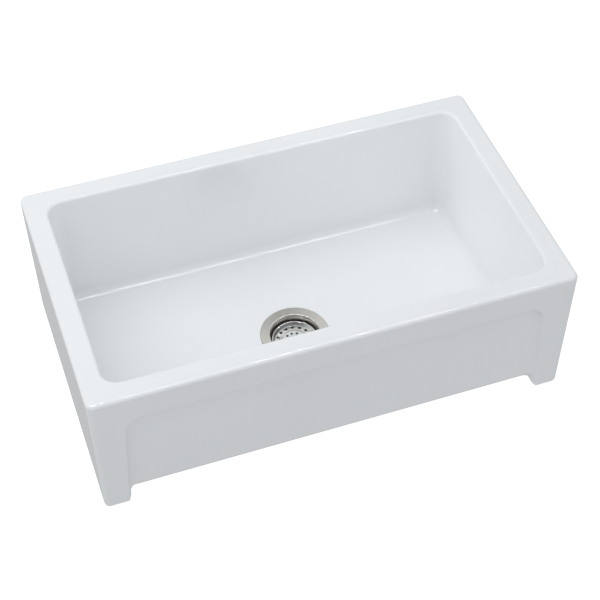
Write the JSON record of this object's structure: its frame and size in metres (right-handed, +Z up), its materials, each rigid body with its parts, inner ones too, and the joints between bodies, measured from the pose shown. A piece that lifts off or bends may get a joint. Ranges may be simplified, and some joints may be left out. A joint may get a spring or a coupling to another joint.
{
  "type": "farmhouse apron front sink",
  "caption": "Rectangular single-bowl fireclay kitchen sink with a sunk-panel apron on two front feet and a centre drain with a lift-out basket strainer and stopper.",
  "frame": {"origin": "centre of the plane the basin stands on, under the middle of the bowl", "axes": "+X along the width to the viewer's right, -Y out of the apron towards the room, +Z up"},
  "size_m": [0.7618, 0.4518, 0.3981],
  "materials": {
    "white_glaze": "gloss white glaze",
    "brushed_nickel": "satin, brushed round",
    "stainless": "bright pressed steel",
    "cast_brass": "as cast and machined",
    "polished_chrome": "polished",
    "black_rubber": "moulded matt",
    "fibre": "pressed fibre",
    "putty": "pressed putty",
    "white_plastic": "moulded matt"
  },
  "bodies": {
    "sink": {"fireclay_basin": "white_glaze", "strainer_body": "brushed_nickel", "putty_seal": "putty", "rubber_gasket": "black_rubber", "friction_ring": "fibre", "lock_nut": "cast_brass", "outlet_spud": "cast_brass", "tailpiece_washer": "white_plastic", "tailpiece": "polished_chrome", "coupling_nut": "polished_chrome"},
    "stopper": {"stopper_post": "stainless", "knob": "stainless", "stopper_seal": "black_rubber", "backing_washer": "stainless", "lower_washer": "stainless", "post_nut": "stainless", "detent_balls": "stainless", "detent_spring": "stainless"},
    "basket": {"basket_cup": "stainless"}
  },
  "joints": [
    {"name": "basket_lift", "type": "slide", "parent": "sink", "child": "stopper", "axis": [0, 0, 1], "range_m": [0, 0.29]},
    {"name": "basket_turn", "type": "hinge", "parent": "stopper", "child": "basket", "pos_m": [0, -0.009, 0.012], "axis": [0, 0, 1], "continuous": true}
  ]
}
